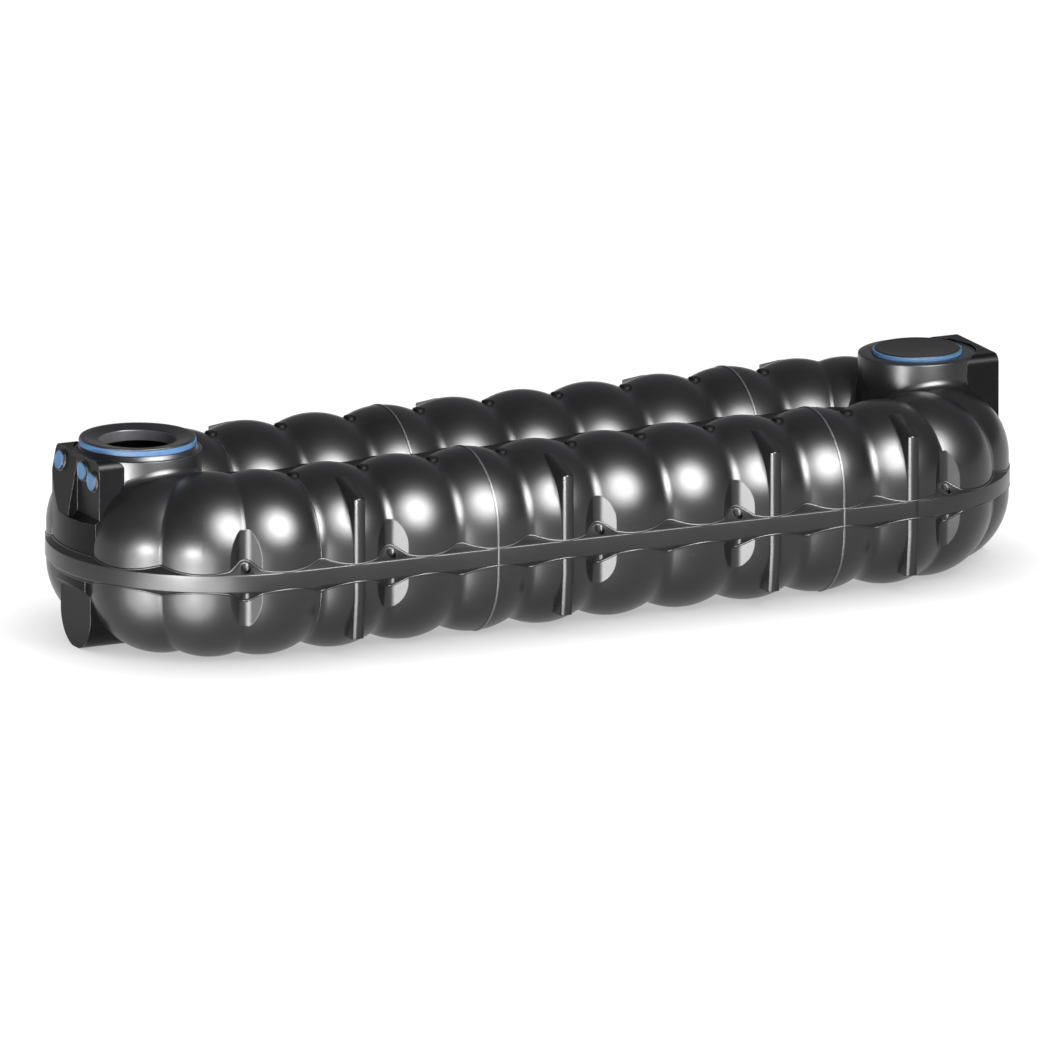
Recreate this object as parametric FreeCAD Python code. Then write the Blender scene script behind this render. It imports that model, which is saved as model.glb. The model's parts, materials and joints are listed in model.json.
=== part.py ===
import FreeCAD, Part
import math
import os

os.makedirs("parts", exist_ok=True)
V = FreeCAD.Vector

# Driving dimensions, millimetres. X runs along the tank, Z up, Z = 0 is the ground.
pitch = 512.0            # lobe to lobe along a row
lobe_r = 500.0           # outer radius of a lobe
row_y = 645.0            # row axis from the middle of the tank
lobes = 10               # lobes along each straight row
turn_step = 30.0         # degrees from lobe to lobe round an end
wall = 10.0              # wall of the mouldings
base_flat = 4.0          # how far the lobe bottoms are flattened
axis_high = 740.0        # centres of the upper domes
groove_fillet = 105.0    # soft bottom of the grooves between lobes
fillet_sink = 2.0        # how deep the end groove fillets bed into the lobes

rim_mid = 600.0          # parting plane of the two half shells
rim_out = 1150.0         # outer face of the rim band from the row's middle line
rim_h = 112.0            # height of the band's outer face
rim_slope = 40.0         # slope of the band's upper and lower side, degrees
rim_root = 1020.0        # back of the band, buried in the lobes
rim_skin = 16.0          # skin in front of a lashing eye's slot

roof_z = 1004.0          # top of the web between the rows
neck_x = 2888.0          # centre of each neck
panel_r = 1108.0         # end panel round the centre of the end
left_seam, right_seam = -1.5, 3.5          # weld seams, in pitches
rib_places = (-3.5, -0.5, 2.5, 4.5)        # ribs, in pitches
eye_places = (-3.0, 0.0, 2.0)              # lashing eyes in the straight grooves, in pitches

# Derived levels.
axis_low = lobe_r - base_flat
floor_z = axis_low + axis_high - roof_z
end_x = (lobes - 1) / 2.0 * pitch
far = 5000.0
up, along = V(0, 0, 1), V(1, 0, 0)


def box(x0, x1, y0, y1, z0, z1):
    """A box between two corners."""
    return Part.makeBox(x1 - x0, y1 - y0, z1 - z0, V(x0, y0, z0))


def disc(x, y, r, z0, z1):
    """An upright round bar."""
    return Part.makeCylinder(r, z1 - z0, V(x, y, z0))


def tube(x, y, r0, r1, z0, z1):
    """An upright ring between two radii."""
    return disc(x, y, r1, z0, z1).cut(disc(x, y, r0, z0, z1))


def face(points):
    """A flat face from its corners."""
    return Part.Face(Part.makePolygon(points + points[:1]))


def arc(x, y, r, a0, a1):
    """An arc in plan, angles in degrees."""
    ends = [V(x + r * math.cos(math.radians(a)), y + r * math.sin(math.radians(a)), 0)
            for a in (a0, (a0 + a1) / 2.0, a1)]
    return Part.Arc(*ends).toShape()


def join(shapes):
    """All the shapes as one."""
    shapes = list(shapes)
    return shapes[0].multiFuse(shapes[1:])


def swap_ends(shape):
    """The same thing at the other end of the tank."""
    return shape.mirror(V(0, 0, 0), along)


def swap_sides(shape):
    """The same thing on the other side of the tank."""
    return shape.mirror(V(0, 0, 0), V(0, 1, 0))


def row(r, fillet, y):
    """A straight row of lobes with filleted grooves, turned over and under its two axes."""
    half_pitch = pitch / 2.0
    lean = math.degrees(math.acos(half_pitch / (r + fillet)))
    lift = math.sqrt((r + fillet) ** 2 - half_pitch ** 2)
    crest = []
    for i in range(lobes):
        x = -end_x + i * pitch
        crest.append(arc(x, 0, r, 180 if i == 0 else 180 - lean, 0 if i == lobes - 1 else lean))
        if fillet and i < lobes - 1:
            crest.append(arc(x + half_pitch, lift, fillet, 180 + lean, 360 - lean))
    spine = Part.makeLine(V(end_x + r, 0, 0), V(-end_x - r, 0, 0))
    half = Part.Face(Part.Wire(crest + [spine]))
    over = half.revolve(V(0, 0, 0), along, 180)
    under = half.revolve(V(0, 0, 0), along, -180)
    outline = crest + [swap_sides(e) for e in crest]
    waist = Part.Face(Part.Wire(Part.__sortEdges__(outline))).extrude(V(0, 0, axis_high - axis_low))
    over.translate(V(0, y, axis_high))
    under.translate(V(0, y, axis_low))
    waist.translate(V(0, y, axis_low))
    return join([over, waist, under]).removeSplitter()


def turn_centre(side, step):
    """Where lobe number step stands on the turn round an end."""
    a = math.radians(turn_step * step)
    return side * (end_x + row_y * math.sin(a)), -row_y * math.cos(a)


def lobe(centre, r):
    """One upright lobe with a dome at each end."""
    s = r * math.sqrt(0.5)
    low, high = V(r, 0, axis_low), V(r, 0, axis_high)
    foot, top = V(0, 0, axis_low - r), V(0, 0, axis_high + r)
    outline = Part.Wire([Part.Arc(foot, V(s, 0, axis_low - s), low).toShape(), Part.makeLine(low, high),
                         Part.Arc(high, V(s, 0, axis_high + s), top).toShape(), Part.makeLine(top, foot)])
    body = Part.Face(outline).revolve(V(0, 0, 0), up, 360)
    across = centre[0] - math.copysign(end_x, centre[0])
    body.rotate(V(0, 0, 0), up, math.degrees(math.atan2(centre[1], across)))
    body.translate(V(centre[0], centre[1], 0))
    return body


def groove_ring(c0, c1):
    """The soft bottom of the groove between two lobes of a turn, as a closed loop."""
    half = math.hypot(c1[0] - c0[0], c1[1] - c0[1]) / 2.0
    lift = math.sqrt((lobe_r + groove_fillet) ** 2 - half ** 2)
    k = groove_fillet / (lobe_r + groove_fillet)
    w, h = half * k, lift * (1 - k) - fillet_sink
    bed = h - groove_fillet
    hollow = Part.Arc(V(-w, h, 0), V(0, lift - groove_fillet - fillet_sink, 0), V(w, h, 0)).toShape()
    sides = Part.makePolygon([V(w, h, 0), V(w, bed, 0), V(-w, bed, 0), V(-w, h, 0)])
    section = Part.Face(Part.Wire([hollow] + sides.Edges))
    over = section.revolve(V(0, 0, 0), along, 180)
    under = section.revolve(V(0, 0, 0), along, -180)
    flank = section.extrude(V(0, 0, axis_high - axis_low))
    over.translate(V(0, 0, axis_high))
    under.translate(V(0, 0, axis_low))
    flank.translate(V(0, 0, axis_low))
    loop = join([over, under, flank, swap_sides(flank)]).removeSplitter()
    loop.rotate(V(0, 0, 0), up, math.degrees(math.atan2(c1[1] - c0[1], c1[0] - c0[0])))
    loop.translate(V((c0[0] + c1[0]) / 2.0, (c0[1] + c1[1]) / 2.0, 0))
    return loop


def ring(r, fillet):
    """Both rows and the lobes of both turns."""
    solids = [row(r, fillet, -row_y), row(r, fillet, row_y)]
    for side in (-1, 1):
        solids += [lobe(turn_centre(side, k), r) for k in (1, 2, 4, 5)]
        if fillet:
            solids += [groove_ring(turn_centre(side, k), turn_centre(side, k + 1)) for k in (0, 1, 4, 5)]
    return join(solids)


def slab(z0, z1):
    """The flat core between the rows."""
    return join([box(-end_x, end_x, -row_y, row_y, z0, z1),
                 disc(-end_x, 0, row_y, z0, z1), disc(end_x, 0, row_y, z0, z1)])


def rim():
    """The band round the tank's waist."""
    out, tall = rim_out, rim_h / 2.0
    rise = (rim_out - rim_root) * math.tan(math.radians(rim_slope))
    section = face([V(0, -out, rim_mid - tall), V(0, -out, rim_mid + tall),
                    V(0, -rim_root, rim_mid + tall + rise), V(0, -rim_root, rim_mid - tall - rise)])
    straight = section.copy()
    straight.translate(V(-end_x, 0, 0))
    straight = straight.extrude(V(2 * end_x, 0, 0))
    turn = section.revolve(V(0, 0, 0), up, 180)
    turn.translate(V(end_x, 0, 0))
    return join([straight, swap_sides(straight), turn, swap_ends(turn)]).removeSplitter()


# Lashing pockets: upright round-backed channels cut into the grooves.
pocket_back = 1050.0
pocket_r = 70.0
pocket_flank = 50.0
eye_r = 31.0
eye_back = 18.0          # material behind an eye's slot
pocket_foot, pocket_height = 80.0, 1100.0


def pocket(grow, reach):
    """A channel's plan, stood up through the height, opening along -Y out to reach."""
    a = math.radians(pocket_flank)
    r = pocket_r + grow
    mid = pocket_back + pocket_r
    tx, ty = r * math.cos(a), mid - r * math.sin(a)
    wide = tx + (reach - ty) * math.tan(a)
    back = Part.Arc(V(-tx, -ty, 0), V(0, -(mid - r), 0), V(tx, -ty, 0)).toShape()
    sides = Part.makePolygon([V(tx, -ty, 0), V(wide, -reach, 0), V(-wide, -reach, 0), V(-tx, -ty, 0)])
    column = Part.Face(Part.Wire([back] + sides.Edges)).extrude(V(0, 0, pocket_height))
    column.translate(V(0, 0, pocket_foot))
    return column


def eye_slot():
    """A round-backed slot for a strap or hook, closed in front by a skin."""
    y = -(rim_out - rim_skin)
    back = pocket_back + eye_back + eye_r
    return join([disc(0, -back, eye_r, 0, far), box(-eye_r, eye_r, y, -back, 0, far)])


def spread(shape):
    """The shape at each of the ten pockets: three a side in the rows, one at each start of a turn."""
    copies = []
    for n in eye_places:
        s = shape.copy()
        s.translate(V(n * pitch, 0, 0))
        copies += [s, swap_sides(s)]
    s = shape.copy()
    s.rotate(V(0, 0, 0), up, turn_step / 2.0)
    s.translate(V(end_x, 0, 0))
    copies += [s, swap_sides(s), swap_ends(s), swap_ends(swap_sides(s))]
    return copies


# Ends: a neck with its inlet block and end panel above, a foot below.
block_face = 3330.0
block_half = 345.0
block_low = 905.0
block_round = 60.0       # round shoulders of the blocks
slope_drop = 42.0
ledge_rise = 35.0        # top of the ledge under the upright half of a block's face
foot_face = 3347.0
foot_half = 235.0
foot_root = 2780.0
keel_top = 420.0
toe_low, toe_high = 390.0, 450.0           # slope between a foot's face and its panel
inner_reach = 60.0       # how far the hollow of an end runs on into the tank
left_top, right_top = 1320.0, 1381.0
left_plate, right_plate = 15.0, 20.0       # top plates of the necks
left_neck_r, right_neck_r = 430.0, 400.0
left_block_top, right_block_top = left_top + 12.0, right_top + 11.0
cut_over = 5.0           # how far a cut runs past the face that it opens


def wedge(points, y0, y1, d):
    """A side outline in X and Z run across the end, kept within the panel's round."""
    prism = face([V(x, y0, z) for x, z in points]).extrude(V(0, y1 - y0, 0))
    return prism.common(disc(end_x, 0, panel_r - d, -far, far))


def head(top, d):
    """Inlet block and end panel at +X; every face set back by d."""
    half, nose, front = block_half - d, end_x + panel_r - d, block_face - d
    ground = rim_mid if d == 0 else rim_mid - inner_reach
    shelf = block_low - d
    panel = wedge([(neck_x, ground), (nose, ground), (nose, shelf), (neck_x, shelf)], -half, half, d)
    block = box(neck_x, front, -half, half, block_low - inner_reach, top - d)
    shoulders = [e for e in block.Edges if e.BoundBox.XLength > 100 and e.BoundBox.ZMin > top - d - 1]
    block = block.makeFillet(block_round - d, shoulders)
    sill, crown = block_low - slope_drop, top - slope_drop
    slope = wedge([(neck_x, sill), (nose, sill), (front, crown), (neck_x, crown)], d, half, d)
    brow = block_low + ledge_rise
    ledge = wedge([(neck_x, sill), (nose, sill), (front, brow), (neck_x, brow)], -half, 0, d)
    return join([panel, block, slope, ledge]).removeSplitter()


def foot(d):
    """Lower end panel and the round-bottomed foot at +X; every face set back by d."""
    half, nose, front = foot_half - d, end_x + panel_r - d, foot_face - d
    ceiling = rim_mid if d == 0 else rim_mid + inner_reach
    panel = wedge([(foot_root, ceiling), (nose, ceiling), (nose, toe_high + d), (front, toe_low + d),
                   (foot_root, toe_low + d)], -half, half, d)
    centre = foot_half - base_flat
    keel = join([box(foot_root, front, -half, half, centre, keel_top),
                 disc(foot_root, 0, half, centre, keel_top),
                 Part.makeCylinder(half, front - foot_root, V(foot_root, 0, centre), along),
                 Part.makeSphere(half, V(foot_root, 0, centre))])
    return join([panel, keel]).removeSplitter()


ground_cut = box(-far, far, -far, far, -200, 0)
left_head_out, left_head_in = swap_ends(head(left_block_top, 0)), swap_ends(head(left_block_top, wall))
right_head_out, right_head_in = head(right_block_top, 0), head(right_block_top, wall)
foot_out, foot_in = foot(0).cut(ground_cut), foot(wall)
left_neck_out = disc(-neck_x, 0, left_neck_r, block_low, left_top)
right_neck_out = disc(neck_x, 0, right_neck_r, block_low, right_top)
left_neck_in = disc(-neck_x, 0, left_neck_r - wall, block_low - inner_reach, left_top - left_plate)
right_neck_in = disc(neck_x, 0, right_neck_r - wall, block_low - inner_reach, right_top - right_plate)

# The lobed body: outside, inside, and the wall between.
full = ring(lobe_r, groove_fillet)
outside = full.cut(spread(pocket(0, rim_out + 50)) + [ground_cut])
hollow = join([ring(lobe_r - wall, 0), slab(floor_z + wall, roof_z - wall)])
hollow = hollow.cut(spread(pocket(wall, rim_out + 50)))
hollow = hollow.multiFuse([left_head_in, right_head_in, foot_in, swap_ends(foot_in),
                           left_neck_in, right_neck_in])
ends = [left_head_out, right_head_out, foot_out, swap_ends(foot_out), left_neck_out, right_neck_out]
shell = outside.cut(ends + [hollow])

nodes = {}


def keep(name, shape, x0=-far, x1=far, y0=-far, y1=far, z0=-10.0, z1=far):
    """The part of a shape inside a box, as a node."""
    nodes[name] = shape.common(box(x0, x1, y0, y1, z0, z1))


x_left, x_right = left_seam * pitch, right_seam * pitch
x_turn = -4 * pitch
for level, z0, z1 in (("upper", rim_mid, far), ("lower", -10.0, rim_mid)):
    keep("left_end_%s_shell" % level, shell, x1=x_turn, z0=z0, z1=z1)
    keep("left_front_%s_shell" % level, shell, x0=x_turn, x1=x_left, y1=0, z0=z0, z1=z1)
    keep("left_back_%s_shell" % level, shell, x0=x_turn, x1=x_left, y0=0, z0=z0, z1=z1)
    keep("middle_front_%s_shell" % level, shell, x0=x_left, x1=x_right, y1=0, z0=z0, z1=z1)
    keep("middle_back_%s_shell" % level, shell, x0=x_left, x1=x_right, y0=0, z0=z0, z1=z1)
    keep("right_end_%s_shell" % level, shell, x0=x_right, z0=z0, z1=z1)

# Webs between the rows.
for level, z0, z1 in (("roof", roof_z - wall, roof_z), ("floor", floor_z, floor_z + wall)):
    web = slab(z0, z1).cut([full] + ends)
    keep("left_%s_web" % level, web, x1=x_left)
    keep("middle_%s_web" % level, web, x0=x_left, x1=x_right)
    keep("right_%s_web" % level, web, x0=x_right)

# Rim band, and its lashing eyes in front of the pockets.
band = rim()
eye_block = pocket(0, rim_out + 5)
rim_band = band.cut([full] + spread(eye_block) + ends)
keep("left_rim_band", rim_band, x1=x_left)
keep("middle_front_rim_band", rim_band, x0=x_left, x1=x_right, y1=0)
keep("middle_back_rim_band", rim_band, x0=x_left, x1=x_right, y0=0)
keep("right_rim_band", rim_band, x0=x_right)
eyes = [e.common(band) for e in spread(eye_block.cut(eye_slot()))]
nodes["front_lashing_eyes"] = Part.makeCompound([e for e in eyes if e.BoundBox.YMax < 0])
nodes["back_lashing_eyes"] = Part.makeCompound([e for e in eyes if e.BoundBox.YMin > 0])

# Ribs over the lobes, their noses a little proud of the band.
rib_nose = rim_out + 10.0
rib_w = 80.0
rib_round = 28.0
rib_low, rib_high = 137.0, 1089.0
rib_ridge = 18.0
rib_root = 800.0


def rib():
    """One rib at X = 0 on the front, with rounded nose and ridge."""
    top = rib_high + (rib_nose - rib_root) * math.tan(math.radians(rib_ridge))
    low = rib_low + (rib_nose - rib_root) * math.tan(math.radians(rib_ridge))
    side = face([V(-rib_w / 2, -rib_nose, rib_low), V(-rib_w / 2, -rib_nose, rib_high),
                 V(-rib_w / 2, -rib_root, top), V(-rib_w / 2, -rib_root, low)])
    fin = side.extrude(V(rib_w, 0, 0))
    outer = [e for e in fin.Edges
             if abs(e.tangentAt(e.FirstParameter).x) < 0.01 and e.BoundBox.YMin < -rib_nose + 1
             and e.BoundBox.ZMax > rib_high - 1]
    return fin.makeFillet(rib_round, outer)


fin = rib()
for i, n in enumerate(rib_places):
    placed = fin.copy()
    placed.translate(V(n * pitch, 0, 0))
    nodes["front_rib_%d" % (i + 1)] = placed.cut([full, band])
    nodes["back_rib_%d" % (i + 1)] = swap_sides(placed).cut([full, band])

# Weld seams: a raised bead all round at the joints of the three mouldings.
bead_w, bead_h = 12.0, 6.0


def hoop(x, wide, grow):
    """A slice of the tank at the middle of a lobe, its outline moved out by grow."""
    r, x0 = lobe_r + grow, x - wide / 2.0
    slices = [box(x0, x0 + wide, -row_y, row_y, floor_z - grow, roof_z + grow)]
    for y in (-row_y, row_y):
        slices += [Part.makeCylinder(r, wide, V(x0, y, z), along) for z in (axis_low, axis_high)]
        slices.append(box(x0, x0 + wide, y - r, y + r, axis_low, axis_high))
    tall, rise = rim_h / 2.0 + grow, (rim_out - rim_root) * math.tan(math.radians(rim_slope))
    out = rim_out + grow
    section = face([V(x0, -out, rim_mid - tall), V(x0, -out, rim_mid + tall),
                    V(x0, -rim_root, rim_mid + tall + rise), V(x0, -rim_root, rim_mid - tall - rise)])
    slices += [section.extrude(V(wide, 0, 0)), swap_sides(section).extrude(V(wide, 0, 0))]
    return join(slices).removeSplitter()


for name, n in (("left_weld_seam", left_seam), ("right_weld_seam", right_seam)):
    bead = hoop(n * pitch, bead_w, bead_h).cut(hoop(n * pitch, bead_w + 2, 0))
    nodes[name] = bead.common(box(-far, far, -far, far, bead_h, far))

# Round pads in the grooves on top of each row.
pad_r, pad_top, pad_deep = 52.0, axis_high + 459.0, 90.0
for name, y in (("front_groove_pads", -row_y), ("back_groove_pads", row_y)):
    pads = [disc(n * pitch, y, pad_r, pad_top - pad_deep, pad_top).cut(full) for n in range(-4, 5)]
    nodes[name] = Part.makeCompound(pads)

# Left neck: open manhole, its bore hung from a funnelled rim inside the collar, and its sealing ring.
collar_r, collar_h = 384.0, 80.0
mouth_r, funnel_r, funnel_drop = 258.0, 350.0, 16.0
seal_t, seal_low, seal_high = 9.0, 50.0, 11.0
collar_top = left_top + collar_h
bore_top = collar_top - funnel_drop
bore_foot = left_top - left_plate - cut_over
collar = disc(-neck_x, 0, collar_r, left_top, collar_top)
mouth = [disc(-neck_x, 0, mouth_r, bore_foot, collar_top),
         Part.makeCone(mouth_r, funnel_r, funnel_drop, V(-neck_x, 0, bore_top))]
collar_hollow = tube(-neck_x, 0, mouth_r + wall, collar_r - wall, bore_foot, bore_top - wall)
nodes["left_neck"] = join([left_neck_out, collar]).cut(mouth + [collar_hollow, hollow])
nodes["left_neck_gasket"] = tube(-neck_x, 0, collar_r, collar_r + seal_t,
                                 collar_top - seal_low, collar_top - seal_high)

# Right neck: closed by a round lid with its sealing ring.
lid_r, lid_proud, seat_sink = 292.0, 31.0, 5.0
hatch_r = 270.0
lid_gasket_r, gasket_drop = lid_r + 10.0, 6.0
lid_top, lid_seat = right_top + lid_proud, right_top - seat_sink
seat = [disc(neck_x, 0, lid_gasket_r, lid_seat, right_top),
        disc(neck_x, 0, hatch_r, right_top - right_plate - cut_over, lid_seat)]
nodes["right_neck"] = right_neck_out.cut(seat + [hollow])
nodes["right_lid"] = disc(neck_x, 0, lid_r, lid_seat, lid_top)
nodes["right_lid_gasket"] = tube(neck_x, 0, lid_r, lid_gasket_r, lid_seat, lid_top - gasket_drop)

# Inlet blocks, pipe sockets and plugs: two on the upright half of the face, one square to the sloped half.
socket_r, plug_r, socket_out, plug_proud = 68.0, 58.0, 20.0, 4.0
flange_r, flange_t = 75.0, 4.0
y_sloped, z_sloped = 236.0, 1233.0
upright_sockets = ((-100.0, 1230.0), (-250.0, 1189.0))
bore_deep = 100.0        # how far a socket's bore is cut each way from the block's face
lean = math.atan2(end_x + panel_r - block_face, left_block_top - block_low)
x_sloped = block_face + (left_block_top - slope_drop - z_sloped) * math.tan(lean)
socket_places = [(V(-x_sloped, y_sloped, z_sloped), V(-math.cos(lean), 0, math.sin(lean)))]
socket_places += [(V(-block_face, y, z), V(-1, 0, 0)) for y, z in upright_sockets]
sockets = [Part.makeCylinder(flange_r, flange_t, p, n).fuse(Part.makeCylinder(socket_r, socket_out, p, n))
           for p, n in socket_places]
sockets = [s.cut([Part.makeCylinder(plug_r, socket_out, p, n), left_head_out])
           for s, (p, n) in zip(sockets, socket_places)]
plug_long = socket_out + plug_proud + wall
plugs = [Part.makeCylinder(plug_r, plug_long, p - n * wall, n) for p, n in socket_places]
bores = [Part.makeCylinder(plug_r, 2 * bore_deep, p - n * bore_deep, n) for p, n in socket_places]
nodes["left_inlet_block"] = left_head_out.cut([disc(-neck_x, 0, left_neck_r, 0, far), hollow] + bores)
nodes["right_inlet_block"] = right_head_out.cut([disc(neck_x, 0, right_neck_r, 0, far), hollow])
nodes["pipe_sockets"] = Part.makeCompound(sockets)
nodes["pipe_plugs"] = Part.makeCompound(plugs)

# Feet under the ends.
nodes["left_foot"] = swap_ends(foot_out).cut([hollow])
nodes["right_foot"] = foot_out.cut([hollow])

for name, shape in nodes.items():
    solid = shape.removeSplitter()
    if len(solid.Solids) == 1:
        solid = solid.Solids[0]
    else:
        solid = Part.makeCompound(solid.Solids)
    print(name, len(solid.Solids), solid.isValid(), round(solid.Volume / 1e6, 2))
    solid.exportStep("parts/%s.step" % name)
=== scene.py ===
"""Underground water tank: two rows of moulded lobes with round ends, a manhole and a lidded neck.

Sizes are in metres and angles in degrees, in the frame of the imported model.
"""

import json
import logging
import math
from dataclasses import dataclass, field, replace
from enum import Enum
from typing import Any, Callable, Sequence

import bpy
from mathutils import Matrix, Vector

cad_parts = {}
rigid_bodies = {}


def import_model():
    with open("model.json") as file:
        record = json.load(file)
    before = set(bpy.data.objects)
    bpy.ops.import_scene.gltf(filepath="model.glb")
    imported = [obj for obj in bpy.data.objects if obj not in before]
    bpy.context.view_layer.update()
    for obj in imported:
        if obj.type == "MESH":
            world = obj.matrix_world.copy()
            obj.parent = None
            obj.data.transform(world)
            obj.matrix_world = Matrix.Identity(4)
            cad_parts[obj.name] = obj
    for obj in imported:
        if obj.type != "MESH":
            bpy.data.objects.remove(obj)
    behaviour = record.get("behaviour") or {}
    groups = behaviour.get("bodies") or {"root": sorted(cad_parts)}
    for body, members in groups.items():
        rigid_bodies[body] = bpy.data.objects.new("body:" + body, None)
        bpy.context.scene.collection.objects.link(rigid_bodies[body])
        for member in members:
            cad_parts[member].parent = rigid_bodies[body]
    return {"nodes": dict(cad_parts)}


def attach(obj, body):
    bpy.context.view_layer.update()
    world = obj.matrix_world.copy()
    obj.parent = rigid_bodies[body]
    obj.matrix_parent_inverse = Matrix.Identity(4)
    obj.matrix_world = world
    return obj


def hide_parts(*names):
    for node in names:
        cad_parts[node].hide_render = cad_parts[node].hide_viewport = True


log = logging.getLogger("water_tank")

Point = tuple[float, float, float]
Spot = tuple[float, float]
Range = tuple[float, float]
Colour = tuple[float, float, float, float]
Outline = Sequence[Spot]

# The moulded body: lobes in two straight rows and in the turns at their ends
PITCH = 0.512
LOBE_R = 0.500
ROW_Y = 0.645
END_X = 4.5 * PITCH
GROOVE_FILLET = 0.105
RIM_MID = 0.600

# The two necks
NECK_X = 2.888
NECK_FOOT = 0.915
MANHOLE_R = 0.430
LIDDED_R = 0.400

# A vertex this close to a plane lies in it, and vertices this close to each other are one
NEAR = 0.001
SAME = 0.00005

# Rays for each rounded edge and for the floor's shade
EDGE_SAMPLES = 6
SHADE_SAMPLES = 8


class Slot(Enum):
    """Material slots of the tank's record."""

    TANK = "tank_black"
    LID = "lid_black"
    WELD = "weld_bead"
    SEAL = "blue_seal"
    PLUG = "blue_plug"


@dataclass(frozen=True)
class Noise:
    """A cloudy noise: clouds to the metre, octaves, strength of the finer ones and scale of each axis."""

    scale: float
    octaves: float = 2.0
    rough: float = 0.5
    stretch: Point | None = None


class Pattern(Enum):
    """What varies over the plastic."""

    CLOUDS = Noise(1.7, 4.0)
    MOTTLE = Noise(38.0)
    SCUFFS = Noise(9.0, 6.0, 0.62, (1.0, 1.0, 3.5))
    WEAR = Noise(24.0, 3.0)
    GRAIN = Noise(260.0)
    WAVES = Noise(5.0)
    RIPPLES = Noise(26.0, stretch=(0.2, 1.0, 1.0))
    SPECKS = Noise(120.0, 3.0)


class Value:
    """A number or a vector that changes over a surface, with Python's operators."""

    def __init__(self, graph: "Graph", socket: Any) -> None:
        """Wrap a socket.

        Args:
            graph: The node tree that the socket is in.
            socket: An output socket of that tree.
        """
        self.graph = graph
        self.socket = socket

    def _math(self, operation: str, *terms: Any) -> "Value":
        """Join terms by one Math node.

        Args:
            operation: The Math node's operation.
            terms: Values or numbers for its inputs, in order.

        Returns:
            The node's result.
        """
        return self.graph.add("ShaderNodeMath", {"operation": operation}, dict(enumerate(terms)))

    def __add__(self, other: Any) -> "Value":
        """Sum."""
        return self._math("ADD", self, other)

    __radd__ = __add__

    def __sub__(self, other: Any) -> "Value":
        """Difference."""
        return self._math("SUBTRACT", self, other)

    def __rsub__(self, other: Any) -> "Value":
        """Difference from a number."""
        return self._math("SUBTRACT", other, self)

    def __mul__(self, other: Any) -> "Value":
        """Product."""
        return self._math("MULTIPLY", self, other)

    __rmul__ = __mul__

    def __or__(self, other: Any) -> "Value":
        """The larger of two."""
        return self._math("MAXIMUM", self, other)

    def fraction(self) -> "Value":
        """What is left above the next lower whole number."""
        return self._math("FRACT", self)

    def centred(self) -> "Value":
        """A noise or a fraction less its mean, which is a half."""
        return self - 0.5

    def ramp(self, low: float, high: float) -> "Value":
        """Spread the range from low to high over 0 to 1.

        Args:
            low: The value that becomes 0.
            high: The value that becomes 1.

        Returns:
            A value from 0 to 1 with soft ends.
        """
        return self.graph.add("ShaderNodeMapRange", {"interpolation_type": "SMOOTHSTEP"},
                              {0: self, 1: low, 2: high, 3: 0.0, 4: 1.0})


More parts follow.
